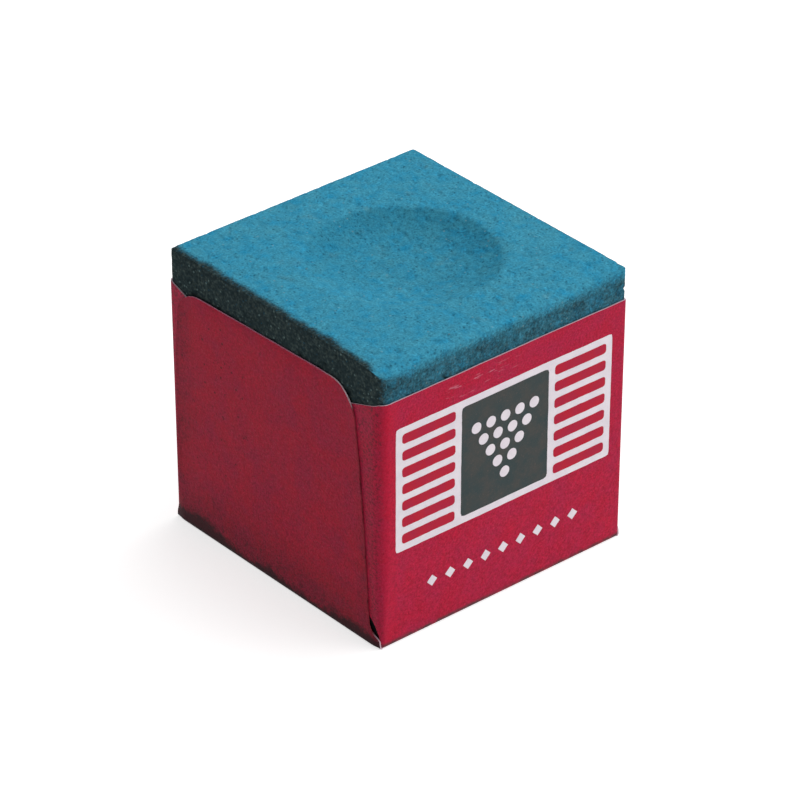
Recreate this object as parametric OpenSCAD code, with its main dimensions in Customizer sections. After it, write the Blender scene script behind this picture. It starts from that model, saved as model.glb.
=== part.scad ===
// Cue chalk cube: a pressed chalk block with a worn dish on top, in a folded paper wrapper.
// Millimetres, +Z up. The origin is the centre of the underside, and the printed panel faces -Y.
// The wrapper is one die-cut sheet. It is divided here at its fold lines: base, front and back
// panels, four corner tabs that wrap the block's upright corners, and two side flaps over them.

/* [Cube] */
// Width and depth of the wrapped cube
cube_w = 22.2; // [20:0.1:26]
// Height from the underside to the top of the chalk
cube_h = 21.8; // [20:0.1:26]

/* [Chalk block] */
// Radius of the block's four upright corners
corner_r = 0.5; // [0.3:0.1:2]
// Radius of the block's four top edges
top_edge_r = 0.5; // [0.2:0.1:1]
// Radius of the worn dish where it meets the top
dish_r = 6.9; // [4:0.1:9]
// Depth of the worn dish at its middle
dish_depth = 1.1; // [0.3:0.1:3]
// How far the dish lies to the right of the block's middle
dish_x = 0.5; // [-1:0.1:1]

/* [Wrapper] */
// Thickness of the wrapper paper
paper_t = 0.1; // [0.08:0.01:0.3]
// Thickness of each film of adhesive
glue_t = 0.02; // [0.02:0.01:0.06]
// How far the adhesive stays back from the paper's edges
glue_margin = 0.6; // [0.2:0.1:2]
// Height of the wrapper's upper edge
wrapper_h = 19.3; // [16:0.1:19.5]

/* [Corner tabs] */
// How far a tab reaches along the side of the block, past the rounded corner
tab_reach = 6; // [4:0.5:9]
// How far a tab's upper edge drops from the corner to its free end
tab_top_drop = 2.4; // [0:0.1:4]
// Height of the cut that frees a tab from the base fold at the corner
tab_cut_z = 0.9; // [0.5:0.1:2]
// How far a tab's lower edge rises from there for each millimetre along the side
tab_lower_rise = 1.45; // [0.5:0.05:1.5]

/* [Side flaps] */
// Distance of a flap's front edge from the front corner, just below its round shoulder
flap_front_inset = 2.45; // [1:0.05:4]
// Distance of a flap's back edge from the back corner, just below its round shoulder
flap_back_inset = 0.75; // [0.5:0.05:4]
// Radius of a flap's upper front corner
front_shoulder_r = 2.8; // [1:0.1:4]
// Radius of a flap's upper back corner
back_shoulder_r = 1.6; // [1:0.1:4]
// Height above which a flap's side edges stop spreading quickly from the base fold
flap_knee_z = 1.6; // [1:0.1:4]
// Distance of a flap's front edge from the front corner at that height
flap_front_knee = 1.1; // [0.5:0.05:2]
// Distance of a flap's back edge from the back corner at that height
flap_back_knee = 0.45; // [0.2:0.05:2]

/* [Printed label] */
// Width of the label's white ground
label_w = 19.3; // [10:0.1:19.3]
// Height of the label's white ground
label_h = 9.8; // [6:0.1:11]
// Height of the label's lower edge above the underside
label_z = 7.25; // [6:0.05:9]
// Width of the white border and of the white gaps between stripes
border = 0.55; // [0.3:0.05:0.8]
// Number of stripes on each side of the middle block
stripe_count = 7; // [3:1:9]
// Width of the dark middle block
block_mark_w = 7.8; // [5:0.1:8]
// Number of rows in the triangle of dots, which has one more dot in each row
dot_rows = 5; // [3:1:5]
// Diameter of a dot
dot_d = 0.85; // [0.3:0.05:0.9]
// Centre distance of neighbouring dots
dot_pitch = 1.3; // [0.9:0.05:1.3]
// Number of diamonds in the row below the label
diamond_count = 9; // [3:1:11]
// Centre distance of neighbouring diamonds
diamond_pitch = 1.6; // [1:0.1:1.7]
// Height and width of a diamond
diamond_w = 0.9; // [0.4:0.05:1]
// Height of the row of diamonds above the underside
diamond_z = 3.75; // [2:0.05:5]

/* [Hidden] */
$fn = 64;

// One bonded layer of paper and its adhesive
layer_t = paper_t + glue_t;
// The sides carry two layers, a tab under a flap; the front and back carry one
block_w = cube_w - 4 * layer_t;
block_d = cube_w - 2 * layer_t;
block_h = cube_h - layer_t;
// Half the straight run of the front and back panels, between the rounded corners
panel_half = block_w / 2 - corner_r;
// Where the straight side of the block begins, past the rounded corner
side_start = block_d / 2 - corner_r;
// Half the base panel, which ends at the inner faces of the upright panels and flaps
base_half = cube_w / 2 - paper_t;
// Radius of the base panel's corners, where two fold lines meet
base_corner_r = 0.2;
// Radius of the sphere that wears the dish
dish_sphere_r = (dish_r * dish_r + dish_depth * dish_depth) / (2 * dish_depth);
// Thickness of one printed layer
ink_t = 0.01;
// Overlap that makes a cut run past the surface it starts from
cut = 1;

chalk_blue = [0.24, 0.58, 0.74];
wrapper_red = [0.70, 0.12, 0.24];
flap_red = [0.55, 0.13, 0.20];
print_white = [0.90, 0.88, 0.90];
print_red = [0.76, 0.10, 0.20];
print_dark = [0.23, 0.28, 0.28];
glue_clear = [0.85, 0.80, 0.62];

// A square outline centred on the origin, with rounded corners
module rounded_rect(w, d, r) {
  square([w - 2 * r, d], center = true);
  square([w, d - 2 * r], center = true);
  for (x = [-1, 1], y = [-1, 1])
    translate([x * (w / 2 - r), y * (d / 2 - r)])
      circle(r);
}

// A bar with a quarter of its section cut away by a cylinder, used to round one top edge
module edge_cutter(length) {
  difference() {
    translate([0, -length / 2, 0])
      cube([top_edge_r + cut, length, top_edge_r + cut]);
    rotate([90, 0, 0])
      cylinder(r = top_edge_r, h = length + cut, center = true);
  }
}

// Rounds the top edge of the block on one side; the side faces +X before turning
module top_edge_cut(turn, reach, length) {
  rotate([0, 0, turn])
    translate([reach - top_edge_r, 0, cube_h - top_edge_r])
      edge_cutter(length);
}

module chalk_block() {
  color(chalk_blue)
    difference() {
      translate([0, 0, layer_t])
        linear_extrude(block_h)
          rounded_rect(block_w, block_d, corner_r);
      translate([dish_x, 0, cube_h - dish_depth + dish_sphere_r])
        sphere(dish_sphere_r, $fn = 128);
      for (turn = [0, 180])
        top_edge_cut(turn, block_w / 2, block_d + cut);
      for (turn = [90, 270])
        top_edge_cut(turn, block_d / 2, block_w + cut);
    }
}

// Reaches the inner faces of the front and back panels and of the side flaps
module base_panel() {
  color(wrapper_red)
    linear_extrude(paper_t)
      rounded_rect(2 * base_half, 2 * base_half, base_corner_r);
}

module base_glue() {
  color(glue_clear)
    translate([0, 0, paper_t])
      linear_extrude(glue_t)
        rounded_rect(block_w - 2 * glue_margin, block_d - 2 * glue_margin, corner_r);
}

// A flat layer between the two front corners. It starts a distance out from the middle plane
// and stays back from the panel's edges by a margin.
module front_layer(start, thick, margin) {
  translate([margin - panel_half, -start - thick, margin])
    cube([2 * (panel_half - margin), thick, wrapper_h - 2 * margin]);
}

module front_panel() {
  color(wrapper_red)
    front_layer(base_half, paper_t, 0);
}

module front_glue() {
  color(glue_clear)
    front_layer(block_d / 2, glue_t, glue_margin);
}

module back_panel() {
  rotate([0, 0, 180])
    front_panel();
}

module back_glue() {
  rotate([0, 0, 180])
    front_glue();
}

// Plan of a layer that follows the block's front left corner and runs along its left side.
// near and far are the layer's two distances from the block.
module corner_plan(near, far) {
  translate([-panel_half, -side_start])
    intersection() {
      difference() {
        circle(corner_r + far);
        circle(corner_r + near);
      }
      translate([-2 * corner_r, -2 * corner_r])
        square(2 * corner_r);
    }
  translate([-block_w / 2 - far, -side_start])
    square([far - near, tab_reach]);
}

// Outline of a tab seen from the left: full height at the corner, its edges converging to
// the free end. Its first coordinate runs from the front corner towards the back.
module tab_outline() {
  reach = corner_r + layer_t + tab_reach;
  polygon([
    [-cut, paper_t],
    [layer_t, paper_t],
    [layer_t, tab_cut_z],
    [reach, tab_cut_z + tab_lower_rise * (corner_r + tab_reach)],
    [reach, wrapper_h - tab_top_drop],
    [layer_t, wrapper_h],
    [-cut, wrapper_h]
  ]);
}

// The tab at the front left corner. The others are its mirror images.
module corner_tab() {
  color(flap_red)
    intersection() {
      linear_extrude(wrapper_h)
        corner_plan(glue_t, layer_t);
      translate([-panel_half, -cube_w / 2, 0])
        rotate([90, 0, -90])
          mirror([1, 0, 0])
            linear_extrude(corner_r + cut)
              tab_outline();
    }
}

module front_left_tab() {
  corner_tab();
}

module front_right_tab() {
  mirror([1, 0, 0])
    corner_tab();
}

module back_left_tab() {
  mirror([0, 1, 0])
    corner_tab();
}

module back_right_tab() {
  mirror([1, 0, 0])
    mirror([0, 1, 0])
      corner_tab();
}

// Outline of a side flap: as wide as the base fold at the bottom, narrower with round
// shoulders at the top. The first coordinate runs from the front to the back. The outline is
// drawn back from the flap's edges by a margin.
module flap_outline(margin) {
  front = [flap_front_inset - cube_w / 2 + front_shoulder_r, wrapper_h - front_shoulder_r];
  back = [cube_w / 2 - flap_back_inset - back_shoulder_r, wrapper_h - back_shoulder_r];
  fold = base_half - base_corner_r - margin;
  bends = [0 : 10 : 90];
  polygon(concat(
    [[-fold, margin], [flap_front_knee + margin - cube_w / 2, flap_knee_z]],
    [for (a = bends) front + (front_shoulder_r - margin) * [-cos(a), sin(a)]],
    [for (a = bends) back + (back_shoulder_r - margin) * [sin(a), cos(a)]],
    [[cube_w / 2 - flap_back_knee - margin, flap_knee_z], [fold, margin]]
  ));
}

// A layer of the left flap's outline that starts a distance out from the middle plane
module flap_layer(start, thick, margin) {
  translate([-start, 0, 0])
    rotate([90, 0, -90])
      mirror([1, 0, 0])
        linear_extrude(thick)
          flap_outline(margin);
}

module left_flap() {
  color(flap_red)
    flap_layer(base_half, paper_t, 0);
}

module right_flap() {
  mirror([1, 0, 0])
    left_flap();
}

// The adhesive of one side: it fills the space between the block, the tabs and the flap
module left_glue() {
  color(glue_clear)
    difference() {
      flap_layer(block_w / 2, layer_t + glue_t, glue_margin);
      corner_tab();
      mirror([0, 1, 0])
        corner_tab();
    }
}

module right_glue() {
  mirror([1, 0, 0])
    left_glue();
}

// Raises a printed layer from the front panel; level 0 lies on the paper itself.
// Its outline is drawn with x to the right and y up, seen from the front.
module printed(level) {
  translate([0, -cube_w / 2 - level * ink_t, 0])
    rotate([90, 0, 0])
      linear_extrude(ink_t)
        children();
}

inner_w = label_w - 2 * border;
inner_h = label_h - 2 * border;
label_mid = label_z + label_h / 2;
stripe_h = (inner_h - (stripe_count - 1) * border) / stripe_count;
stripe_w = (inner_w - block_mark_w) / 2 - border;
stripe_x = inner_w / 2 - stripe_w / 2;

module label_ground() {
  color(print_white)
    printed(0)
      translate([0, label_mid])
        rounded_rect(label_w, label_h, border / 2);
}

module label_stripes() {
  color(print_red)
    printed(1)
      for (side = [-1, 1], i = [0 : stripe_count - 1])
        translate([side * stripe_x, label_z + border + stripe_h / 2 + i * (stripe_h + border)])
          square([stripe_w, stripe_h], center = true);
}

module label_block() {
  color(print_dark)
    printed(1)
      translate([0, label_mid])
        rounded_rect(block_mark_w, inner_h, border / 2);
}

// A triangle of dots like a rack of balls, its point at the bottom
module label_dots() {
  row_h = dot_pitch * sin(60);
  color(print_white)
    printed(2)
      for (row = [0 : dot_rows - 1], i = [0 : row])
        translate([(i - row / 2) * dot_pitch, label_mid + (row - (dot_rows - 1) / 2) * row_h])
          circle(d = dot_d, $fn = 24);
}

module label_marks() {
  color(print_white)
    printed(0)
      for (i = [0 : diamond_count - 1])
        translate([(i - (diamond_count - 1) / 2) * diamond_pitch, diamond_z])
          rotate(45)
            square(diamond_w / sqrt(2), center = true);
}

chalk_block();
base_panel();
front_panel();
back_panel();
front_left_tab();
front_right_tab();
back_left_tab();
back_right_tab();
left_flap();
right_flap();
base_glue();
front_glue();
back_glue();
left_glue();
right_glue();
label_ground();
label_stripes();
label_block();
label_dots();
label_marks();
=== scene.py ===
"""Looks of a cue chalk cube: worn pressed chalk in a folded, printed and glued paper wrapper."""
import math

import bpy
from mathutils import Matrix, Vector, noise


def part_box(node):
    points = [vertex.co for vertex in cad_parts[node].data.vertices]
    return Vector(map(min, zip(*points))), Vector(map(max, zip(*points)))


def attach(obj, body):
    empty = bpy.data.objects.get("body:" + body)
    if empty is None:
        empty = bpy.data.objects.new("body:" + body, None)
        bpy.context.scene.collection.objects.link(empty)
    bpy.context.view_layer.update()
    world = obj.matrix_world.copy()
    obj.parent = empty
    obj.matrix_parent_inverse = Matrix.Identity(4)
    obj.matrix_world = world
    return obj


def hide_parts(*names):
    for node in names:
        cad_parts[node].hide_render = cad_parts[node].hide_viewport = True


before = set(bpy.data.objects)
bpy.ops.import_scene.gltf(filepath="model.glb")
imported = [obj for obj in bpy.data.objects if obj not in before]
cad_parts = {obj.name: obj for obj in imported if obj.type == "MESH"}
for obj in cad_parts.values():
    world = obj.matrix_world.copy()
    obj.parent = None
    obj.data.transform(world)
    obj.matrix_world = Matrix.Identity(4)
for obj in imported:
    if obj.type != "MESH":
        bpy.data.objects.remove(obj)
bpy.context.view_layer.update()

MM = 0.001


# ---------------------------------------------------------------- sizes, in millimetres
def box_mm(node):
    """The lowest and highest corner of a CAD node, in millimetres."""
    low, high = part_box(node)
    return Vector(low) / MM, Vector(high) / MM


block_low, block_high = box_mm("chalk_block")
base_high = box_mm("base_panel")[1]
panel_low, panel_high = box_mm("front_panel")
tab_low = box_mm("front_left_tab")[0]
flap_low = box_mm("left_flap")[0]
label_low, label_high = box_mm("label_ground")
stripes_low, stripes_high = box_mm("label_stripes")
middle_low, middle_high = box_mm("label_block")
dots_low, dots_high = box_mm("label_dots")
marks_low, marks_high = box_mm("label_marks")

BLOCK_X, BLOCK_Y, TOP = block_high
PAPER = base_high.z
WRAPPER_TOP = panel_high.z
FRONT = -panel_low.y  # outer face of the front and back panels
SIDE = -flap_low.x  # outer face of the side flaps
TAB_SIDE = -tab_low.x  # outer face of the tabs on the sides
CREASE = 0.20  # outer radius of the folds round the base
PANEL_TRIM = 0.3  # how much sooner the paper panels end than the CAD ones, on each side
SEAM_X = panel_high.x - PANEL_TRIM  # where a panel's piece ends and its tabs' pieces begin
BEND = 0.30  # outer radius of the wrapper's upright bends
WORN_LOW_BEND = 0.36  # the same at the base of the rubbed front left corner
WORN_BEND = 0.88  # and at its upper end
WORN_HEIGHT = 7.0  # height at which that bend has its full radius
WIDER_X = 0.008  # share by which the pressed cube is wider at the top than at the bottom
WIDER_Y = 0.012  # and deeper


# ---------------------------------------------------------------- small helpers
def mix(a, b, t):
    return a + (b - a) * t


def clamp(value, low=0.0, high=1.0):
    return max(low, min(high, value))


def smooth(low, high, value):
    """0 below low, 1 above high, and a smooth step between them."""
    t = clamp((value - low) / (high - low))
    return t * t * (3 - 2 * t)


def fade(distance, reach):
    """1 at no distance, and less and less with it, over a reach in millimetres."""
    return math.exp(-distance / reach)


NOISE_FALL = 0.9  # how fast the finer layers of the noise weaken
NOISE_STEP = 2.1  # how much finer each layer is than the one before


def bumps(x, y, z, size, layers, seed):
    """Smooth noise between about -1 and 1, in lumps of the given size in millimetres."""
    place = Vector((x, y, z)) / size + Vector((seed, 2 * seed, -seed))
    return noise.fractal(place, NOISE_FALL, NOISE_STEP, layers)


def spread(low, high, count):
    """count + 1 evenly spaced values from low to high."""
    return [mix(low, high, i / count) for i in range(count + 1)]


def draft(p):
    """A point in metres, moved outwards with its height by the draft of the block and its wrapper."""
    height = p[2] / TOP
    return p[0] * (1 + WIDER_X * height) * MM, p[1] * (1 + WIDER_Y * height) * MM, p[2] * MM


def new_object(name, points, faces, materials):
    """A mesh object from points in millimetres, with its materials, riding on the part."""
    mesh = bpy.data.meshes.new(name)
    mesh.from_pydata([draft(p) for p in points], [], faces)
    for material in materials:
        mesh.materials.append(material)
    piece = bpy.data.objects.new(name, mesh)
    bpy.context.collection.objects.link(piece)
    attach(piece, "root")
    return piece


# ---------------------------------------------------------------- node materials
class Shader:
    """A small wrapper that builds a procedural material out of linked nodes."""

    def __init__(self, name, roughness, specular=0.3):
        self.material = bpy.data.materials.new(name)
        self.material.use_nodes = True
        self.tree = self.material.node_tree
        self.bsdf = self.tree.nodes["Principled BSDF"]
        self.bsdf.inputs["Roughness"].default_value = roughness
        self.bsdf.inputs["Specular IOR Level"].default_value = specular
        place = self.node("ShaderNodeTexCoord").outputs["Object"]
        scale = self.node("ShaderNodeVectorMath", operation="SCALE")
        scale.inputs["Scale"].default_value = 1 / MM
        self.link(place, scale.inputs[0])
        self.mm = scale.outputs["Vector"]
        parts = self.node("ShaderNodeSeparateXYZ")
        self.link(self.mm, parts.inputs[0])
        self.x, self.y, self.z = parts.outputs

    def node(self, kind, **settings):
        """A new node of a kind, with its settings."""
        made = self.tree.nodes.new(kind)
        for key, value in settings.items():
            setattr(made, key, value)
        return made

    def link(self, source, target):
        """Joins an output, or sets a plain number or colour, on an input."""
        if isinstance(source, (int, float, tuple)):
            target.default_value = source
        else:
            self.tree.links.new(source, target)

    def math(self, operation, a, b=0.0, c=0.0):
        """The result of an operation on outputs or plain numbers."""
        made = self.node("ShaderNodeMath", operation=operation)
        for source, target in zip((a, b, c), made.inputs):
            self.link(source, target)
        return made.outputs[0]

    def times(self, result, *factors):
        """The product of two or more values."""
        for factor in factors:
            result = self.math("MULTIPLY", result, factor)
        return result

    def largest(self, result, *others):
        """The largest of two or more values."""
        for other in others:
            result = self.math("MAXIMUM", result, other)
        return result

    def add_scaled(self, value, factor, base):
        """The base plus a value times a factor."""
        return self.math("MULTIPLY_ADD", value, factor, base)

    def step(self, value, low, high, start=0.0, end=1.0):
        """A smooth step of value from low to high, giving start to end."""
        made = self.node("ShaderNodeMapRange", interpolation_type="SMOOTHSTEP")
        for source, target in zip((value, low, high, start, end), made.inputs):
            self.link(source, target)
        return made.outputs[0]

    def fall(self, value, low, high):
        """A smooth step of value down from 1 at low to 0 at high."""
        return self.step(value, low, high, 1.0, 0.0)

    def band(self, value, start, full, last, end):
        """1 where value lies from full to last, fading out to 0 at start and at end."""
        return self.times(self.step(value, start, full), self.fall(value, last, end))

    def stretch(self, x, y, z):
        """The place in millimetres, scaled along each axis."""
        made = self.node("ShaderNodeVectorMath", operation="MULTIPLY")
        self.link(self.mm, made.inputs[0])
        made.inputs[1].default_value = (x, y, z)
        return made.outputs[0]

    def noise(self, size, detail=3.0, rough=0.55, seed=0.0, place=None):
        """Noise from 0 to 1, in lumps of the given size in millimetres."""
        made = self.node("ShaderNodeTexNoise", noise_dimensions="4D")
        self.link(place or self.mm, made.inputs["Vector"])
        made.inputs["W"].default_value = seed
        made.inputs["Scale"].default_value = 1 / size
        made.inputs["Detail"].default_value = detail
        made.inputs["Roughness"].default_value = rough
        return made.outputs["Fac"]

    def fine_grain(self):
        """The finest noise, which chalk and printed paper share."""
        return self.noise(0.16, detail=2.0, rough=0.7)

    def grains(self, size, radius, share, seed=0.0):
        """1 inside scattered round grains, 0 between them. share is the part of cells that have one."""
        shifted = self.node("ShaderNodeVectorMath", operation="ADD")
        self.link(self.mm, shifted.inputs[0])
        shifted.inputs[1].default_value = (seed, seed, seed)
        cells = self.node("ShaderNodeTexVoronoi")
        self.link(shifted.outputs[0], cells.inputs["Vector"])
        cells.inputs["Scale"].default_value = 1 / size
        chosen = self.node("ShaderNodeSeparateColor")
        self.link(cells.outputs["Color"], chosen.inputs[0])
        soft_edge = 0.6  # share of the radius inside which a grain is solid
        near = self.fall(cells.outputs["Distance"], radius * soft_edge / size, radius / size)
        return self.times(near, self.math("LESS_THAN", chosen.outputs[0], share))

    def attribute(self, name):
        """A value that is stored at the mesh's points."""
        return self.node("ShaderNodeAttribute", attribute_name=name).outputs["Fac"]

    def blend(self, factor, a, b, how="MIX"):
        """Colour a turning to colour b by factor."""
        made = self.node("ShaderNodeMix", data_type="RGBA", blend_type=how, clamp_result=True)
        colours = [socket for socket in made.inputs if socket.type == "RGBA"]
        self.link(factor, made.inputs[0])
        self.link(a, colours[0])
        self.link(b, colours[1])
        return [socket for socket in made.outputs if socket.type == "RGBA"][0]

    def shade(self, colour, amount):
        """Brightens or darkens a colour by a factor that varies over the surface."""
        made = self.node("ShaderNodeVectorMath", operation="SCALE")
        self.link(colour, made.inputs[0])
        self.link(amount, made.inputs["Scale"])
        return made.outputs[0]

    def bump(self, height, depth_mm):
        """Relief of the surface by a height from 0 to 1."""
        made = self.node("ShaderNodeBump")
        made.inputs["Strength"].default_value = 1.0
        made.inputs["Distance"].default_value = depth_mm * MM
        self.link(height, made.inputs["Height"])
        self.link(made.outputs[0], self.bsdf.inputs["Normal"])

    def colour(self, source):
        """Sets the surface's colour."""
        self.link(source, self.bsdf.inputs["Base Color"])


# Colours are linear red, green, blue and alpha
CHALK_BLUE = (0.028, 0.246, 0.400, 1)
CHALK_SKY = (0.064, 0.282, 0.370, 1)
CHALK_DEEP = (0.016, 0.232, 0.405, 1)
CHALK_DUSTY = (0.095, 0.25, 0.29, 1)
CHALK_PIT = (0.010, 0.075, 0.13, 1)
CHALK_GRAIN = (0.20, 0.30, 0.29, 1)
# the tint below darkens the dish with painted shade
DISH_SHADE_TINT = (0.50, 0.67, 0.69, 1)
PRESSED_DARK = (0.017, 0.029, 0.032, 1)
PRESSED_PALE = (0.046, 0.066, 0.063, 1)


def chalk_material():
    """Pressed chalk: dusty bright blue where it is worn, near-black teal where the press left it."""
    s = Shader("pressed_chalk", roughness=0.95, specular=0.03)
    fine = s.fine_grain()
    patches = s.noise(1.9, detail=3.0, seed=3.0)
    worn = s.blend(patches, CHALK_BLUE, CHALK_SKY)
    worn = s.blend(s.step(s.noise(0.9, seed=7.0), 0.4, 0.85), worn, CHALK_DEEP)
    worn = s.blend(s.step(s.noise(1.3, seed=11.0), 0.55, 0.95), worn, CHALK_DUSTY)
    # painted shade in the dish, darkest inside its back right rim
    worn = s.blend(s.attribute("dish_shade"), worn, DISH_SHADE_TINT, "MULTIPLY")
    mottle = s.step(s.noise(0.22, seed=5.0), 0.42, 0.7)
    pressed = s.blend(mottle, PRESSED_DARK, PRESSED_PALE)
    dust = s.add_scaled(s.math("SUBTRACT", fine, 0.5), 0.55, s.attribute("dust"))
    colour = s.blend(s.step(dust, 0.15, 0.95), pressed, worn)
    colour = s.blend(s.times(s.grains(0.27, 0.10, 0.28), 0.5), colour, CHALK_PIT)
    colour = s.blend(s.times(s.grains(0.5, 0.10, 0.20, seed=9.0), 0.3), colour, CHALK_GRAIN)
    colour = s.shade(colour, s.add_scaled(fine, 1.5, 0.25))
    colour = s.shade(colour, s.step(s.noise(0.5, detail=2.0, seed=21.0), 0.25, 0.75, 0.92, 1.08))
    # painted shadow under the paper: the block gets darker towards the bottom
    foot = s.step(s.z, 1.5, 6.0, 0.25, 1.0)  # darker where it shows through the gap at the corner
    s.colour(s.shade(colour, foot))
    s.bump(s.add_scaled(s.noise(0.4, seed=2.0), 1.2, fine), 0.035)
    return s.material


INK_PALE = (0.52, 0.12, 0.16, 1)
GRIME = (0.022, 0.005, 0.008, 1)
# the brighter red of a painted highlight beside the front left bend
INK_BEND_HIGHLIGHT = (0.56, 0.007, 0.028, 1)
INK_RUBBED = (0.12, 0.014, 0.026, 1)
INK_SCRATCHED = (0.55, 0.20, 0.27, 1)


def with_side_dirt(s, colour):
    """Marks on the side flaps: a ragged black band and a haze that darken them towards the bottom,
    and dirt in specks along the edges and in flecks that get stronger towards the back."""
    ragged = s.noise(1.1, detail=6.0, rough=0.8, seed=6.0)
    broad = s.noise(5.0, detail=1.0, seed=16.0)
    height = s.add_scaled(ragged, -3.2, s.z)
    height = s.add_scaled(broad, -3.4, height)
    height = s.add_scaled(s.step(s.y, 4.0, 11.0), -0.8, height)
    foot = s.fall(height, -3.1, -1.9)
    depth = s.add_scaled(s.noise(2.5, seed=9.0), 5.0, s.y)
    back_edge = s.step(depth, 10.0, 14.5)
    front_edge = s.fall(depth, -8.2, -5.6)
    low_haze = s.fall(s.z, 0.3, 5.5)
    edges = s.largest(back_edge, front_edge, low_haze)
    specks = s.times(s.step(s.noise(0.22, rough=0.8, seed=12.0), 0.49, 0.60), edges)
    blotches = s.step(s.noise(0.5, detail=4.0, rough=0.75, seed=19.0), 0.60, 0.70)
    dots = s.grains(0.8, 0.12, 0.3, seed=5.0)
    flecks = s.largest(s.times(blotches, 0.6), s.times(dots, 0.7))
    flecks = s.times(flecks, s.step(s.y, -6.0, 8.0, 0.25, 1.0))
    dirt = s.largest(s.times(foot, 0.93), s.times(specks, 0.75), s.times(edges, 0.30), flecks)
    return s.blend(dirt, colour, GRIME)


def with_scuffs_and_highlight(s, colour):
    """Marks on the panels: rubbed bends, a painted highlight beside the left one, scratches above the
    label.
    """
    grain = s.fine_grain()
    left = s.add_scaled(grain, -1.2, s.x)
    # painted highlight: a brighter red line beside the front left bend
    painted_highlight = s.times(s.band(left, -11.5, -11.1, -10.6, -9.7), grain, 0.6)
    colour = s.blend(painted_highlight, colour, INK_BEND_HIGHLIGHT)
    on_left_bend = s.fall(left, -11.65, -11.0)
    on_sides = s.step(s.math("ABSOLUTE", s.x), 10.85, 10.95)
    specks = s.step(s.noise(0.2, rough=0.8, seed=13.0), 0.46, 0.64, 0.22, 0.95)
    colour = s.blend(s.times(s.largest(on_left_bend, on_sides), specks), colour, INK_RUBBED)
    streaks = s.noise(0.35, detail=4.0, rough=0.75, seed=8.0, place=s.stretch(0.16, 1.0, 1.0))
    streaks = s.step(streaks, 0.55, 0.66)
    above_label = s.band(s.z, 17.2, 17.7, 18.5, 19.0)
    left_of_middle = s.band(s.x, -6.5, -4.0, -0.5, 2.0)
    on_front = s.math("LESS_THAN", s.y, 0.0)
    scratched = s.times(above_label, left_of_middle, on_front, streaks, 0.8)
    return s.blend(scratched, colour, INK_SCRATCHED)


def ink_material(name, bright, deep, fold_wear_and_shade, with_marks):
    """Crimson ink on paper: fine mottled grain, broad shifts of hue, base folds that are worn and
    darkened with painted shade, and the marks that the given function adds: marks of use, and on
    the panels a painted highlight."""
    s = Shader(name, roughness=0.5, specular=0.06)
    grain = s.fine_grain()
    lumps = s.noise(1.6, detail=3.0, seed=4.0)
    colour = s.blend(s.step(lumps, 0.3, 0.7), bright, deep)
    colour = s.shade(colour, s.add_scaled(grain, 1.56, 0.22))
    pale = s.step(s.noise(0.15, detail=2.0, rough=0.8, seed=15.0), 0.5, 0.75)
    colour = s.blend(s.times(pale, 0.14), colour, INK_PALE)
    colour = with_marks(s, colour)
    patchy = s.step(s.noise(0.7, seed=1.0), 0.35, 0.6, 0.35, 0.9)
    # painted shade along the base fold, mixed with its patchy wear
    worn_and_shaded_fold = s.times(s.fall(s.z, 0.20, 0.48), patchy)
    s.colour(s.blend(worn_and_shaded_fold, colour, fold_wear_and_shade))
    s.bump(s.add_scaled(s.noise(0.5, seed=2.0), 1.5, grain), 0.010)
    return s.material


PAPER_LIGHT = (0.78, 0.62, 0.69, 1)
PAPER_DARK = (0.46, 0.27, 0.34, 1)
PAPER_DUST = (0.22, 0.30, 0.36, 1)


def paper_material():
    """Bare paper at the cut edges and on the inside of the wrapper, with fibres and dust in it."""
    s = Shader("bare_paper", roughness=0.85, specular=0.1)
    fibres = s.noise(0.12, detail=3.0, rough=0.7, place=s.stretch(1.0, 1.0, 0.4))
    dust = s.step(s.noise(0.9, seed=3.0), 0.45, 0.75)
    colour = s.blend(fibres, PAPER_DARK, PAPER_LIGHT)
    s.colour(s.blend(s.times(dust, 0.35), colour, PAPER_DUST))
    s.bump(fibres, 0.012)
    return s.material


# Dark and light colour of the flaps' cut edge, by where it is
EDGE_FOOT = (0.50, 0.28, 0.35, 1), (0.80, 0.62, 0.69, 1)
EDGE_TOP = (0.55, 0.17, 0.27, 1), (0.86, 0.38, 0.54, 1)
EDGE_SHOULDER = (0.80, 0.50, 0.58, 1), (0.95, 0.80, 0.86, 1)
EDGE_DARKENED = (0.11, 0.012, 0.020, 1), (0.34, 0.045, 0.065, 1)


def flap_edge_material():
    """The flaps' cut edges and insides: clean near the top and at the foot, darker in between."""
    s = Shader("flap_cut_edge", roughness=0.85, specular=0.05)
    fibres = s.noise(0.12, detail=3.0, rough=0.7)
    upper = s.step(s.z, 8.0, 16.0)
    shoulder = s.times(upper, s.fall(s.y, -6.6, -5.0))
    clean = s.blend(upper, s.blend(fibres, *EDGE_FOOT), s.blend(fibres, *EDGE_TOP))
    clean = s.blend(shoulder, clean, s.blend(fibres, *EDGE_SHOULDER))
    darkened = s.blend(s.step(s.noise(0.8, seed=2.0), 0.3, 0.6), *EDGE_DARKENED)
    height = s.add_scaled(s.noise(1.5, seed=5.0), 2.0, s.z)
    clean_part = s.largest(s.step(height, 18.8, 19.7), s.fall(height, 1.7, 2.4))
    s.colour(s.blend(clean_part, darkened, clean))
    s.bump(fibres, 0.012)
    return s.material


def print_material(name, light, dark, speck):
    """A flat ink of the label, slightly mottled, with specks of the ink next to it."""
    s = Shader(name, roughness=0.5, specular=0.1)
    grain = s.noise(0.14, detail=2.0, rough=0.8, seed=5.0)
    colour = s.blend(s.step(s.noise(1.1, seed=2.0), 0.3, 0.7), light, dark)
    colour = s.blend(s.times(s.step(grain, 0.55, 0.75), 0.5), colour, speck)
    s.colour(s.shade(colour, s.add_scaled(grain, 0.24, 0.88)))
    s.bump(grain, 0.008)
    return s.material


GLUE_DARK = (0.42, 0.34, 0.18, 1)
GLUE_LIGHT = (0.72, 0.65, 0.46, 1)
GLUE_BUBBLE = (0.82, 0.78, 0.66, 1)


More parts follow.
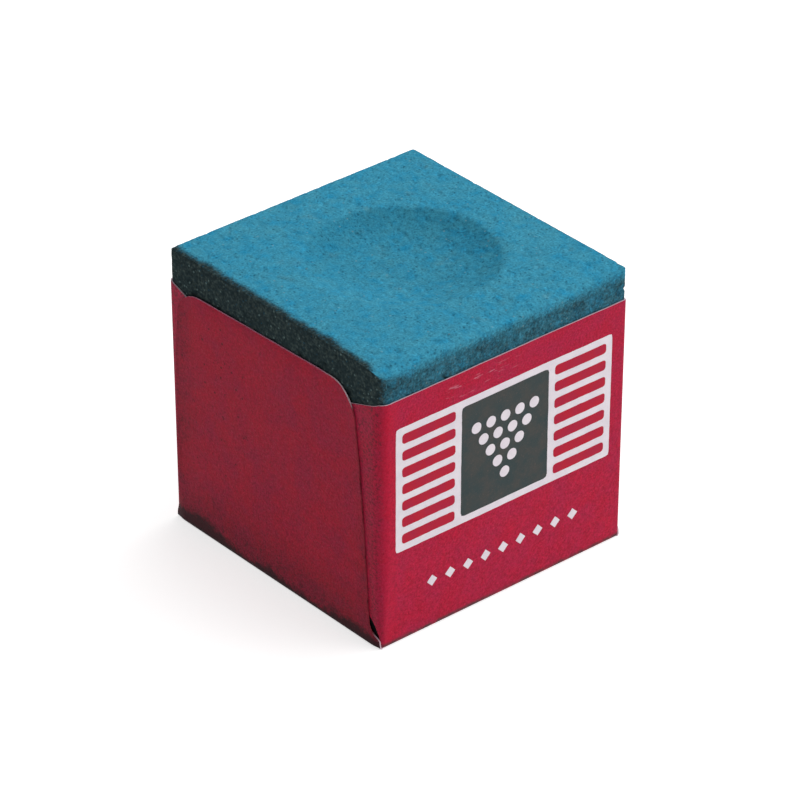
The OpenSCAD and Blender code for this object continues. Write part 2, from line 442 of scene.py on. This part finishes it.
def glue_material():
    """Dried adhesive: yellowish, with bubbles and brush marks."""
    s = Shader("dried_adhesive", roughness=0.4, specular=0.4)
    marks = s.noise(0.5, detail=3.0, place=s.stretch(1.0, 1.0, 0.2))
    colour = s.blend(marks, GLUE_DARK, GLUE_LIGHT)
    s.colour(s.blend(s.grains(0.9, 0.18, 0.4), colour, GLUE_BUBBLE))
    s.bump(marks, 0.02)
    return s.material


chalk = chalk_material()
front_ink = ink_material(
    "wrapper_ink_front",
    bright=(0.445, 0.009, 0.039, 1),
    deep=(0.405, 0.013, 0.054, 1),
    fold_wear_and_shade=(0.065, 0.038, 0.044, 1),
    with_marks=with_scuffs_and_highlight,
)
# the same ink as the front's, made darker: painted shade on the side flaps and the base
shaded_flap_ink = ink_material(
    "wrapper_ink_side_shaded",
    bright=(0.325, 0.005, 0.024, 1),
    deep=(0.268, 0.007, 0.033, 1),
    fold_wear_and_shade=(0.020, 0.008, 0.010, 1),
    with_marks=with_side_dirt,
)
bare_paper = paper_material()
flap_edge = flap_edge_material()
white_ink = print_material(
    "label_white",
    light=(0.83, 0.77, 0.82, 1),
    dark=(0.77, 0.71, 0.77, 1),
    speck=(0.74, 0.56, 0.62, 1),
)
red_ink = print_material(
    "label_red",
    light=(0.49, 0.007, 0.029, 1),
    dark=(0.42, 0.009, 0.043, 1),
    speck=(0.36, 0.006, 0.030, 1),
)
dark_ink = print_material(
    "label_dark",
    light=(0.036, 0.056, 0.058, 1),
    dark=(0.060, 0.062, 0.058, 1),
    speck=(0.11, 0.075, 0.065, 1),
)
glue = glue_material()


# ---------------------------------------------------------------- chalk block
DISH_X = 0.5
DISH_R = 6.9
DISH_DEPTH = 1.1
DISH_FLATNESS = 2.8  # power of the dish's profile
RIM_WANDER = 0.035  # unevenness of the dish's rim, as a share of its radius
RIM_SOFTNESS = 0.006  # larger for a rounder rim
SHARP_CORNER = 0.15  # radius of three of the block's upright corners where they show
COVERED_CORNER = 0.30  # and under the paper
WORN_CORNER = 0.76  # the rubbed front left corner
GRID = 0.105  # spacing of the block's points where it shows
TOP_EDGE = 0.13  # radius of the top edges before wear
EDGE_STEPS = 5  # rings of points round the top edges
BOTTOM_EDGE = 0.3  # how far the bottom edges are rounded off
COVERED_Z = WRAPPER_TOP - 0.5  # the paper hides the block up to this height
FINE_Z = WRAPPER_TOP - 0.6  # the fine grid runs down to this height
COARSE_RINGS = (14.0, 8.0, 2.5, 0.8)  # heights of the rings of points below it
UNWORN_FOOT = 0.5  # height above the underside up to which nothing wears
RUB_REACH = 0.8  # how far the rubbing reaches in from the front edge and down from the top
LIGHT_RUB = 0.05  # depth of the rubbing at the left edge and at the front edge's right end
HEAVY_RUB = 0.30  # and along the rest of the front edge
BACK_RUB = 0.01  # and at the back edge
CORNER_RUB = 0.22  # how much lower the front left corner is rubbed
ALL_OVER_RUB = 0.03  # wear of the whole top
CHIP_DEPTH = 0.14  # depth of the chips in the front and left edges
FAR_CHIP_DEPTH = 0.07  # and in the other two
CHIP_REACH = 0.25  # how far the chips reach
GRAIN_HEIGHT = 0.018
TOP_PORES = 0.10  # depth of the pores
SIDE_PORES = 0.24


def corner_size(x, y, z):
    """Radius of the block's upright corner in the same quarter as a point."""
    if x < 0 and y < 0:
        return WORN_CORNER
    return mix(COVERED_CORNER, SHARP_CORNER, smooth(COVERED_Z, WRAPPER_TOP + 0.1, z))


def rounded(u, v, half_x, half_y, radius):
    """Maps a point of the square from -1 to 1 onto a rectangle with round corners."""
    ring = max(abs(u), abs(v))
    x, y, r = u * half_x, v * half_y, radius * ring
    inner_x = clamp(x, r - half_x * ring, half_x * ring - r)
    inner_y = clamp(y, r - half_y * ring, half_y * ring - r)
    dx, dy = x - inner_x, y - inner_y
    if dx and dy:
        k = r / math.hypot(dx, dy)
        return inner_x + dx * k, inner_y + dy * k
    return x, y


def dish_drop(x, y):
    """How far the worn dish lies below the top at a point: steep at an uneven rim, flat inside."""
    dx, dy = x - DISH_X, y
    distance = math.hypot(dx, dy)
    turn = Vector((dx, dy, 0)).normalized()
    rim = DISH_R * (1 + RIM_WANDER * bumps(turn.x, turn.y, 0, 0.9, 2, 4.0))
    t = distance / rim
    depth = 1 - t ** DISH_FLATNESS
    return DISH_DEPTH * 0.5 * (depth + math.sqrt(depth * depth + RIM_SOFTNESS)) * smooth(1.5, 1.02, t)


def wear(p, outward):
    """How far the worn block lies below and inside its pressed shape at a point. outward is 0 on
    the top and 1 on the sides."""
    x, y, z = p
    from_front, from_left = BLOCK_Y + y, BLOCK_X + x
    from_back, from_right = BLOCK_Y - y, BLOCK_X - x
    edge = min(from_front, from_left, from_back, from_right)
    below = TOP - z
    drop = dish_drop(x, y) * (1 - outward)
    drop += ALL_OVER_RUB * (1 + bumps(x, y, 0, 5.0, 2, 1.0)) * (1 - outward)
    rubbed = mix(LIGHT_RUB, HEAVY_RUB, smooth(0.3, 5.0, from_right)) * fade(from_front, RUB_REACH)
    rubbed += BACK_RUB * fade(from_back, 0.4) + LIGHT_RUB * fade(from_left, 0.35)
    drop += rubbed * (1 + 0.5 * bumps(x, y, 0, 2.2, 2, 6.0)) * fade(below, RUB_REACH)
    from_worn_corner = math.hypot(from_front, from_left)
    drop += CORNER_RUB * fade(from_worn_corner, 1.3) * fade(below, RUB_REACH)
    near_edge = fade(max(edge, 0) + below, CHIP_REACH)
    far_edge = smooth(0.6, 2.0, min(from_front, from_left))
    chip_depth = mix(CHIP_DEPTH, FAR_CHIP_DEPTH, far_edge) * near_edge
    chips = max(0.0, bumps(x, y, z, 0.6, 2, 9.0) - 0.3) * chip_depth
    grain = GRAIN_HEIGHT * bumps(x, y, z, 0.42, 2, 3.0) * (1 - 0.6 * near_edge)
    pore_depth = mix(TOP_PORES, SIDE_PORES, outward) * (1 - 0.8 * near_edge)
    pores = max(0.0, bumps(x, y, z, 0.55, 2, 17.0) - 0.28) * pore_depth
    drop += (pores - grain) * (1 - outward)
    return drop, chips + pores - grain


def block_profile():
    """Rings of the block's sides from the top down: how far each lies out from the rim of the
    flat top, and its height."""
    profile = []
    for k in range(1, EDGE_STEPS + 1):
        angle = math.pi / 2 * k / EDGE_STEPS
        profile.append((TOP_EDGE * math.sin(angle), TOP - TOP_EDGE * (1 - math.cos(angle))))
    shown = TOP - TOP_EDGE - FINE_Z
    count = round(shown / GRID)
    profile += [(TOP_EDGE, TOP - TOP_EDGE - shown * k / count) for k in range(1, count + 1)]
    low = block_low.z
    profile += [(TOP_EDGE, z) for z in (*COARSE_RINGS, low + BOTTOM_EDGE)]
    bevel = 0.3 * BOTTOM_EDGE  # how far in and up a quarter circle is when halfway round
    return profile + [(TOP_EDGE - bevel, low + bevel), (TOP_EDGE - BOTTOM_EDGE, low)]


def block_mesh():
    """Points and faces of the unworn block, a fine grid over the top that runs on down its sides,
    and for each point how much it belongs to the sides, from 0 on the top to 1."""
    columns = round(2 * BLOCK_X / GRID)
    rows = round(2 * BLOCK_Y / GRID)
    points, outward = [], []

    def add_point(i, j, grow, z):
        """Places column i and row j of the grid, grown out from the rim of the flat top."""
        u, v = 2 * i / columns - 1, 2 * j / rows - 1
        reach = grow - TOP_EDGE
        x, y = rounded(u, v, BLOCK_X + reach, BLOCK_Y + reach, corner_size(u, v, z) + reach)
        points.append(Vector((x, y, z)))
        outward.append(clamp(grow / TOP_EDGE))

    for j in range(rows + 1):
        for i in range(columns + 1):
            add_point(i, j, 0.0, TOP)
    faces = []
    for j in range(rows):
        for i in range(columns):
            a = j * (columns + 1) + i
            faces.append((a, a + 1, a + columns + 2, a + columns + 1))
    loop = [(i, 0) for i in range(columns)] + [(columns, j) for j in range(rows)]
    loop += [(columns - i, rows) for i in range(columns)] + [(0, rows - j) for j in range(rows)]
    ring = [j * (columns + 1) + i for i, j in loop]
    for grow, z in block_profile():
        start = len(points)
        for i, j in loop:
            add_point(i, j, grow, z)
        fresh = list(range(start, len(points)))
        for k in range(len(loop)):
            n = (k + 1) % len(loop)
            faces.append((ring[k], fresh[k], fresh[n], ring[n]))
        ring = fresh
    faces.append(tuple(reversed(ring)))
    return points, outward, faces


def side_direction(p):
    """The outward direction of the block's side nearest to a point."""
    radius = corner_size(*p)
    dx = p.x - clamp(p.x, radius - BLOCK_X, BLOCK_X - radius)
    dy = p.y - clamp(p.y, radius - BLOCK_Y, BLOCK_Y - radius)
    return Vector((dx, dy, 0)).normalized()


def top_dust(x, y, worn):
    """Dust on the top: a little less in the dish, in worn patches and at the rim, and much less
    along the left edge, which stays dark as the press left it."""
    in_dish = smooth(1.02, 0.9, math.hypot(x - DISH_X, y) / DISH_R)
    at_rim = smooth(0.5, 0.0, min(BLOCK_X - abs(x), BLOCK_Y - abs(y)))
    dust = 1.0 - 0.10 * max(0.0, worn) - 0.04 * in_dish - 0.1 * at_rim
    ragged = 0.34 * max(0.0, bumps(y, 0, 0, 2.1, 3, 7.0) + 0.25) + 0.05 * bumps(x, y, 0, 0.5, 2, 14.0)
    left_strip = smooth(0.80, -0.12, BLOCK_X + x - TOP_EDGE - ragged) * smooth(0.4, 1.6, BLOCK_Y + y)
    return dust * (1 - 0.8 * left_strip)


def side_dust(p, worn):
    """Dust on the sides above the paper: plenty below the front and back edges, where cues rub
    over them, and hardly any on the left and right."""
    direction = side_direction(p)
    facing_y = direction.y * direction.y
    away_from_left = mix(0.5, 1.0, smooth(0.5, 3.0, BLOCK_X + p.x))
    reach = mix(0.02, 1.5, facing_y) * (1 + 0.3 * worn) * away_from_left
    floor = mix(0.02, 0.47, facing_y) * (1 + 0.25 * worn)
    return clamp(max(fade(TOP - p.z, max(0.02, reach)), floor))


def dust_amount(p, outward):
    """How dusty and worn the chalk is at a point, from 0, as pressed, to 1, bright."""
    worn = bumps(p.x, p.y, p.z, 1.4, 3, 12.0)
    if outward < 0.5:
        return top_dust(p.x, p.y, worn)
    return side_dust(p, worn) if p.z >= COVERED_Z else 0.0


def painted_dish_shade(p, outward):
    """Painted shade that darkens the dish to a deeper blue: most inside its back right rim."""
    x, y = p.x - DISH_X, p.y
    rim = math.hypot(x, y) / DISH_R * (1 - 0.02 * bumps(p.x, p.y, 0, 1.2, 3, 23.0))
    facing = clamp(0.40 + 0.44 * x / DISH_R + 0.40 * y / DISH_R)
    crescent = 0.48 * facing * smooth(0.30, 0.92, rim)
    floor = 0.24 * smooth(-1.0, -0.2, (x + y) / DISH_R)
    return (floor + crescent) * smooth(1.01, 0.94, rim) * (1 - outward)


def make_block():
    """The worn block, with its dust and the painted shade of its dish stored at its points for the
    chalk's material.
    """
    points, outward, faces = block_mesh()
    dust, dish_shade = [], []
    for p, amount in zip(points, outward):
        dust.append(dust_amount(p, amount))
        # painted shade of the dish, stored for the material
        dish_shade.append(painted_dish_shade(p, amount))
        drop, inward = wear(p, amount)
        direction = side_direction(p) * amount + Vector((0, 0, 1 - amount))
        if p.z > block_low.z + UNWORN_FOOT:
            p -= direction * inward
            p.z -= drop
    piece = new_object("chalk_block_worn", points, faces, [chalk])
    for name, values in (("dust", dust), ("dish_shade", dish_shade)):
        piece.data.attributes.new(name, "FLOAT", "POINT").data.foreach_set("value", values)
    piece.data.shade_smooth()
    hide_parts("chalk_block")


# ---------------------------------------------------------------- folded paper
def bend_middle(radius):
    """Distance along the wall from the middle of a panel to the middle of its upright bend."""
    return TAB_SIDE - radius * (1 - math.pi / 4)


def fold(v, depth):
    """Profile of a wall that is folded up from the base. v is the distance along the paper above
    the fold's upper end. Gives how far the point lies outside the wall's face, and its height."""
    if v >= 0:
        return -depth, CREASE + v
    angle = math.pi / 2 + v / CREASE
    return (CREASE - depth) * math.sin(angle) - CREASE, CREASE - (CREASE - depth) * math.cos(angle)


FOLD_LENGTH = CREASE * math.pi / 2


LONG_WAVE = 0.035  # height of a panel's long waves
SHORT_WAVE = 0.012  # and of its short ones


def ripple(s, z, seed):
    """Slight waves of a glued panel, fading out at the base fold and at the upright bends."""
    free = smooth(0.3, 3.0, z) * smooth(TAB_SIDE - 0.4, TAB_SIDE - 3.0, abs(s))
    long_waves = LONG_WAVE * bumps(s, z, 0, 6.0, 2, seed)
    return free * (long_waves + SHORT_WAVE * bumps(s, z, 0, 1.8, 2, seed + 3))


def wall(s, v, depth, seed, left_low, left_high):
    """A point of the front wall, which runs on round the upright bends. s is the distance along
    the paper from the middle of the panel, and depth is measured in from its outer face.
    left_low and left_high are the radii of the bend on the left at its lower and upper end."""
    out, z = fold(v, depth)
    out += ripple(s, z, seed)
    side = math.copysign(1, s)
    radius = mix(left_low, left_high, smooth(0.0, WORN_HEIGHT, z)) if s < 0 else BEND
    along = abs(s) - (TAB_SIDE - radius)
    angle = clamp(along / radius, 0, math.pi / 2)
    x = min(abs(s), TAB_SIDE - radius) + radius * math.sin(angle)
    y = radius - FRONT - radius * math.cos(angle)
    y += max(0.0, along - radius * math.pi / 2)
    return Vector((side * (x + out * math.sin(angle)), y - out * math.cos(angle), z))


CUT_ANGLE = math.radians(50)  # a sheet's faces that meet at more than this have a sharp edge


def solid_sheet(name, grids, place, thickness, materials, lift=0.0, turned=False):
    """A closed sheet of paper or ink from one or more grids of (a, b) coordinates. place gives a
    point from a, b and its depth. The outer face takes the first material, cut edges and inside
    the last. turned swaps the sides for a place that mirrors the grid."""
    points, faces, kinds = [], [], []
    for grid in grids:
        width, height, start = len(grid[0]), len(grid), len(points)
        for depth in (-lift, thickness - lift):
            points += [place(a, b, depth) for row in grid for a, b in row]
        inner = width * height

        def index(i, j, layer):
            return start + layer * inner + j * width + i

        for j in range(height - 1):
            for i in range(width - 1):
                square = [(i, j), (i + 1, j), (i + 1, j + 1), (i, j + 1)]
                faces.append([index(*c, 0) for c in square])
                faces.append([index(*c, 1) for c in reversed(square)])
                kinds += [0, 1]
        rim = [(i, 0) for i in range(width - 1)] + [(width - 1, j) for j in range(height - 1)]
        rim += [(i, height - 1) for i in range(width - 1, 0, -1)]
        rim += [(0, j) for j in range(height - 1, 0, -1)]
        for k, here in enumerate(rim):
            after = rim[(k + 1) % len(rim)]
            faces.append([index(*after, 0), index(*here, 0), index(*here, 1), index(*after, 1)])
            kinds.append(1)
    if turned:
        faces = [list(reversed(face)) for face in faces]
    piece = new_object(name, points, faces, materials)
    last = len(materials) - 1
    piece.data.polygons.foreach_set("material_index", [min(k, last) for k in kinds])
    piece.data.shade_smooth()
    piece.data.set_sharp_from_angle(angle=CUT_ANGLE)
    return piece


UNEVEN_CUT = 0.03  # how far the paper's cut upper edges wander


def top_line(s):
    """Height of the wrapper's cut upper edge along the front wall, a little uneven."""
    return WRAPPER_TOP - UNEVEN_CUT + UNEVEN_CUT * bumps(s, 0, 0, 4.0, 2, 2.0)


BEND_MIDDLE = bend_middle(BEND)
TAB_LENGTH = 6.0
TAB_END = BEND_MIDDLE + TAB_LENGTH
TAB_SLOPE = 0.36  # how much a tab's upper edge falls with each millimetre past the bend
TAB_CUT = 0.62  # height at which a tab's lower edge starts, above the fold
TAB_KINK = 0.45  # how far past the bend that edge gets less steep
STEEP, GENTLE = 1.9, 1.1  # its slopes before and after that
FOLD_ROWS = 4  # rows of a sheet's grid round the base fold
WALL_ROWS = 60  # and above it


def high_line(s):
    """The upper edge as a distance along the paper. It slopes down on the tabs, past the bends."""
    past = max(0.0, abs(s) - BEND_MIDDLE)
    return top_line(s) - CREASE - TAB_SLOPE * past


def fold_line(s):
    """The lower edge of a panel, where it meets the base."""
    return -FOLD_LENGTH


def tab_low_line(s):
    """The tab's lower edge: on the base fold up to the bend's middle, then cut upwards."""
    past = abs(s) - BEND_MIDDLE
    if past < 0:
        return -FOLD_LENGTH
    start = mix(-FOLD_LENGTH, TAB_CUT, smooth(0.0, 0.05, past))
    return start + STEEP * min(past, TAB_KINK) + GENTLE * max(0.0, past - TAB_KINK)


def wall_grid(s_values, low_line):
    """Grid of a wall piece: rows round the base fold where it reaches the base, then upwards."""
    rows = []
    lows = [low_line(s) for s in s_values]
    if min(lows) < 0:
        for k in range(FOLD_ROWS):
            rows.append([(s, mix(low, max(low, 0.0), k / FOLD_ROWS)) for s, low in zip(s_values, lows)])
    for t in spread(0, 1, WALL_ROWS):
        rows.append([(s, mix(max(low, 0.0), high_line(s), t)) for s, low in zip(s_values, lows)])
    return rows


def front_wall(s, v, depth):
    """The front wall, whose left bend is rubbed wide."""
    return wall(s, v, depth, seed=21.0, left_low=WORN_LOW_BEND, left_high=WORN_BEND)


def back_wall(s, v, depth):
    """The back wall, before its half turn to the back."""
    return wall(s, v, depth, seed=33.0, left_low=BEND, left_high=BEND)


def half_turn(place):
    """The same place on the opposite wall."""
    def turned(a, b, depth):
        p = place(a, b, depth)
        return Vector((-p.x, -p.y, p.z))
    return turned


def tab_columns():
    """Distances along the paper of a tab's columns, closest near the bend and the cut."""
    near_end = BEND_MIDDLE + 2.5
    columns = spread(SEAM_X, BEND_MIDDLE - 0.03, 16)
    columns += spread(BEND_MIDDLE + 0.01, near_end, 24)
    return columns + spread(near_end + 0.1, TAB_END, 8)


def make_walls():
    """The front and back panels, each with its two corner tabs."""
    panel_s = spread(-SEAM_X, SEAM_X, 60)
    tab_s = tab_columns()
    for side in ("front", "back"):
        place = front_wall if side == "front" else half_turn(back_wall)
        grid = wall_grid(panel_s, fold_line)
        panel = solid_sheet(side + "_panel_paper", [grid], place, PAPER, [front_ink, bare_paper])
        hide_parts(side + "_panel")
        for hand in ("left", "right"):
            mirrored = (hand == "left") == (side == "front")
            s_values = [-s for s in reversed(tab_s)] if mirrored else tab_s
            grid = wall_grid(s_values, tab_low_line)
            tab = solid_sheet(f"{side}_{hand}_tab_paper", [grid], place, PAPER, [front_ink, bare_paper])
            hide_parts(f"{side}_{hand}_tab")


# Edge of a side flap below its shoulders: (height, distance from the corner)
FLAP_FRONT = [
    (0.0, 0.02), (0.65, 0.12), (0.9, 0.5), (1.2, 0.9),
    (1.6, 1.1), (2.4, 1.18), (9.9, 1.72), (13.8, 2.06),
]
FLAP_BACK = [
    (0.0, 0.02), (0.5, 0.06), (0.9, 0.18), (1.6, 0.38),
    (2.6, 0.45), (9.9, 0.55), (13.8, 0.62),
]
FRONT_SHOULDER = 2.65  # radius of the round shoulders
BACK_SHOULDER = 2.2
FRONT_INSET = 2.45  # distance from the corner at which they start
BACK_INSET = 1.0
FLAP_RISE = 0.03  # how far a flap's upper edge stands above the panels' at its middle
FLAP_TILT = 0.024  # and how much it falls with each millimetre towards the back
FLAP_FOOT = 2.4  # height of the closely spaced rows at a flap's foot
FRONT_LIFT = 0.012  # how far a flap's front edge stands off the tab
BACK_LIFT = 0.02  # and its back edge
TOP_SINK = 0.09  # how far its top leans in over the tabs' ends
LIFT_REACH = 0.6  # how far in from the edges these reach
FLAP_WAVE = 0.03  # height of a flap's slight waves
EAR = 0.11  # how far its lowest corners are pressed in


def edge_inset(points, last, shoulder, z):
    """Distance of a flap's edge from the corner at a height, with its round shoulder."""
    low = WRAPPER_TOP - shoulder
    points = points + [(low, last)]
    for (z0, d0), (z1, d1) in zip(points, points[1:]):
        if z <= z1:
            return mix(d0, d1, clamp((z - z0) / (z1 - z0)))
    rise = clamp((z - low) / shoulder)
    return last + shoulder * (1 - math.sqrt(1 - rise * rise))


def front_inset(z):
    return edge_inset(FLAP_FRONT, FRONT_INSET, FRONT_SHOULDER, z)


def back_inset(z):
    return edge_inset(FLAP_BACK, BACK_INSET, BACK_SHOULDER, z)


def flap_rows():
    """Grid of a side flap in (y, distance up the paper), finer towards its edges."""
    across = [0.5 - 0.5 * math.cos(math.pi * t) for t in spread(0, 1, 56)]
    shoulder_z = WRAPPER_TOP - FRONT_SHOULDER
    heights = [mix(-FOLD_LENGTH, 0, k / FOLD_ROWS) for k in range(FOLD_ROWS)]
    heights += spread(0, FLAP_FOOT, 24) + spread(FLAP_FOOT, shoulder_z - CREASE, 30)[1:]
    angles = [math.pi / 2 * k / 24 for k in range(1, 25)]
    heights += [shoulder_z - CREASE + FRONT_SHOULDER * math.sin(angle) for angle in angles]
    rows = []
    for v in heights:
        z = fold(v, 0)[1]
        front = front_inset(z) - FRONT
        back = FRONT - back_inset(z)
        upper = smooth(15.0, WRAPPER_TOP, z)
        row = []
        for t in across:
            y = mix(front, back, t)
            rise = FLAP_RISE - FLAP_TILT * y + UNEVEN_CUT * bumps(t * 9, 0, 0, 2.0, 2, 5.0)
            row.append((y, v + upper * rise))
        rows.append(row)
    return rows


def flap_place(seed):
    """Gives the places of the left flap's points. It lies over the tabs, lifts a little at its side
    edges, and leans in at its top and at its lowest corners."""
    def place(y, v, depth):
        out, z = fold(v, depth)
        front_gap = y + FRONT - front_inset(z)
        back_gap = FRONT - y - back_inset(z)
        top_gap = WRAPPER_TOP - z
        lift = FRONT_LIFT * fade(max(0, front_gap), LIFT_REACH)
        lift += BACK_LIFT * fade(max(0, back_gap), LIFT_REACH)
        lift *= smooth(0.6, 3.0, z) * (1 + 0.6 * bumps(y, z, 0, 3.0, 2, seed + 1))
        lift -= TOP_SINK * smooth(9.0, 6.5, abs(y)) * fade(max(0, top_gap), LIFT_REACH)
        waves = smooth(0.5, 3.0, z) * FLAP_WAVE * bumps(y, z, 0, 5.0, 2, seed)
        ear = EAR * smooth(FRONT - 0.9, FRONT, abs(y)) * smooth(3.0, 0.8, z)
        return Vector((-(SIDE + out + lift + waves - ear), y, z))
    return place


def mirror_x(place):
    """The same place on the opposite side."""
    def mirrored(a, b, depth):
        p = place(a, b, depth)
        return Vector((-p.x, p.y, p.z))
    return mirrored


def make_flaps():
    """The two side flaps. Their grids run from front to back, so the left one is turned."""
    rows = flap_rows()
    inks = [shaded_flap_ink, flap_edge]
    left = solid_sheet("left_flap_paper", [rows], flap_place(41.0), PAPER, inks, turned=True)
    right = solid_sheet("right_flap_paper", [rows], mirror_x(flap_place(57.0)), PAPER, inks)
    for piece, node in ((left, "left_flap"), (right, "right_flap")):
        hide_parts(node)


BASE_RISE = 0.02  # how far the middle of the base stands off the floor


def make_base():
    """The base panel, flat between the four folds and slightly raised away from its rim."""
    half = FRONT - CREASE
    ticks = spread(-half, half, 50)

    def place(x, y, depth):
        inner = min(half - abs(x), half - abs(y))
        rise = BASE_RISE * smooth(0.0, 2.0, inner) * (1 + bumps(x, y, 0, 4.0, 2, 8.0))
        return Vector((x, y, depth + rise))
    rows = [[(x, y) for x in ticks] for y in ticks]
    base = solid_sheet("base_panel_paper", [rows], place, PAPER, [shaded_flap_ink, bare_paper], turned=True)
    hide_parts("base_panel")


# ---------------------------------------------------------------- printed label
INK = 0.010  # thickness of a printed layer
BLEED = 0.018  # how far the edges of the print wander
BARS = 7  # red bars in each column
RACK_ROWS = 5  # rows in the triangle of dots
DOT_SHARE = 0.85 / 1.3  # a dot's width as a share of the distance between dots
DIAMONDS = 9


def label_place(x, z, depth):
    """A point on the front panel's face or above it, for the printed layers."""
    return front_wall(x, z - CREASE, depth)


def bleed(x, z):
    """The small unevenness of a printed edge."""
    return x + BLEED * bumps(x, z, 0, 0.5, 2, 3.0), z + BLEED * bumps(x, z, 5, 0.5, 2, 8.0)


def print_patch(x, z, width, height, radius, cell):
    """Grid of a printed rectangle with round corners, by its centre and size, with cells of about
    the given size."""
    columns, rows = max(4, round(width / cell)), max(4, round(height / cell))
    grid = []
    for v in spread(-1, 1, rows):
        line = []
        for u in spread(-1, 1, columns):
            dx, dz = rounded(u, v, width / 2, height / 2, radius)
            line.append(bleed(x + dx, z + dz))
        grid.append(line)
    return grid


def box_patch(low, high, radius):
    """Grid of the printed rectangle between two corners."""
    middle = (low + high) / 2
    return print_patch(middle.x, middle.z, high.x - low.x, high.z - low.z, radius, cell=0.3)


def printed(name, node, patches, level, material):
    """A printed layer that lies on the ones below it."""
    piece = solid_sheet(name, patches, label_place, INK, [material], lift=INK * (level + 1))
    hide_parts(node)


def bar_patches():
    """Red bars in a column on each side of the dark block."""
    border = stripes_low.z - label_low.z
    height = (stripes_high.z - stripes_low.z - (BARS - 1) * border) / BARS
    width = middle_low.x - border - stripes_low.x
    patches = []
    for side in (-1, 1):
        x = side * (stripes_high.x - width / 2)
        for k in range(BARS):
            z = stripes_low.z + height / 2 + k * (height + border)
            patches.append(print_patch(x, z, width, height, radius=0.22, cell=0.2))
    return patches


def dot_patches():
    """A triangle of dots like a rack of balls, its point at the bottom."""
    row_height = math.sin(math.radians(60))  # as a share of the distance between dots
    pitch = (dots_high.z - dots_low.z) / ((RACK_ROWS - 1) * row_height + DOT_SHARE)
    size = dots_high.x - dots_low.x - (RACK_ROWS - 1) * pitch
    middle_z = (label_low.z + label_high.z) / 2
    patches = []
    for row in range(RACK_ROWS):
        z = middle_z + (row - (RACK_ROWS - 1) / 2) * pitch * row_height
        for i in range(row + 1):
            patches.append(print_patch((i - row / 2) * pitch, z, size, size, size / 2, cell=0.1))
    return patches


def diamond_patches():
    """A row of small squares that stand on a corner."""
    size = marks_high.z - marks_low.z
    pitch = (marks_high.x - marks_low.x - size) / (DIAMONDS - 1)
    z = (marks_low.z + marks_high.z) / 2
    ticks = spread(-1, 1, 6)
    patches = []
    for k in range(DIAMONDS):
        x = marks_low.x + size / 2 + k * pitch
        grid = [[bleed(x + (u - v) * size / 4, z + (u + v) * size / 4) for u in ticks] for v in ticks]
        patches.append(grid)
    return patches


def make_label():
    """White ground, red bars on both sides of a dark block with a rack of dots, and diamonds below."""
    ground = box_patch(label_low, label_high, radius=0.2)
    block = box_patch(middle_low, middle_high, radius=0.25)
    printed("label_white_ground", "label_ground", [ground], 0, white_ink)
    printed("label_red_stripes", "label_stripes", bar_patches(), 1, red_ink)
    printed("label_dark_block", "label_block", [block], 1, dark_ink)
    printed("label_white_dots", "label_dots", dot_patches(), 2, white_ink)
    printed("label_white_diamonds", "label_marks", diamond_patches(), 0, white_ink)


def finish_hidden_glue():
    """The adhesive films stay as CAD parts and take the adhesive's material."""
    for node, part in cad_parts.items():
        if node.endswith("_glue"):
            part.data.materials.clear()
            part.data.materials.append(glue)


# ---------------------------------------------------------------- studio
FLOOR_REACH = 1.2  # in metres, from the middle to each side
FLOOR_DARK = (0.61, 0.61, 0.61, 1)
FLOOR_LIGHT = (0.63, 0.63, 0.63, 1)
FLOOR_GLOW = 0.66


def make_floor():
    """A pale floor that glows a little, so that it comes out nearly white."""
    mesh = bpy.data.meshes.new("floor")
    corners = [(-1, -1), (1, -1), (1, 1), (-1, 1)]
    mesh.from_pydata([(x * FLOOR_REACH, y * FLOOR_REACH, 0) for x, y in corners], [], [(0, 1, 2, 3)])
    floor = bpy.data.objects.new("floor", mesh)
    bpy.context.collection.objects.link(floor)
    s = Shader("pale_floor", roughness=0.9, specular=0.0)
    s.colour(s.blend(s.noise(30.0), FLOOR_DARK, FLOOR_LIGHT))
    s.bsdf.inputs["Emission Color"].default_value = (1, 1, 1, 1)
    s.bsdf.inputs["Emission Strength"].default_value = FLOOR_GLOW
    mesh.materials.append(s.material)


def make_light(name, direction, distance, size, power):
    """A square soft light that shines at the middle of the cube, in metres and watts."""
    data = bpy.data.lights.new(name, "AREA")
    data.size, data.energy = size, power
    light = bpy.data.objects.new(name, data)
    aim = Vector(direction).normalized()
    light.location = Vector((0, 0, TOP * MM / 2)) + aim * distance
    light.rotation_euler = aim.to_track_quat("Z", "Y").to_euler()
    bpy.context.collection.objects.link(light)


def make_world(colour, strength):
    """Even, dim light from all round."""
    world = bpy.data.worlds.new("studio")
    world.use_nodes = True
    background = world.node_tree.nodes["Background"]
    background.inputs["Color"].default_value = colour
    background.inputs["Strength"].default_value = strength
    bpy.context.scene.world = world


def make_camera(azimuth, elevation, distance, lens, target):
    """A long-lens camera at an angle round the cube, in degrees and millimetres. At azimuth 0 it
    looks along +Y."""
    a, e = math.radians(azimuth), math.radians(elevation)
    back = Vector((math.sin(a) * math.cos(e), -math.cos(a) * math.cos(e), math.sin(e)))
    data = bpy.data.cameras.new("camera")
    data.lens, data.sensor_width = lens, 36
    data.clip_start, data.clip_end = 0.01, 10
    camera = bpy.data.objects.new("camera", data)
    camera.location = Vector(target) * MM + back * distance * MM
    camera.rotation_mode = "QUATERNION"
    camera.rotation_quaternion = (-back).to_track_quat("-Z", "Y")
    bpy.context.collection.objects.link(camera)
    bpy.context.scene.camera = camera


make_camera(azimuth=-40.5, elevation=31.45, distance=332.8, lens=215.8, target=(0.22, 0, 10.27))
make_block()
make_walls()
make_flaps()
make_base()
make_label()
finish_hidden_glue()
make_floor()
make_world(colour=(1.0, 1.0, 1.0, 1), strength=0.12)
make_light("key", direction=(0.60, -0.20, 0.78), distance=0.5, size=0.66, power=2.9)
make_light("overhead", direction=(0.0, 0.1, 1.0), distance=0.7, size=0.9, power=2.2)
bpy.context.scene.view_settings.view_transform = "Standard"
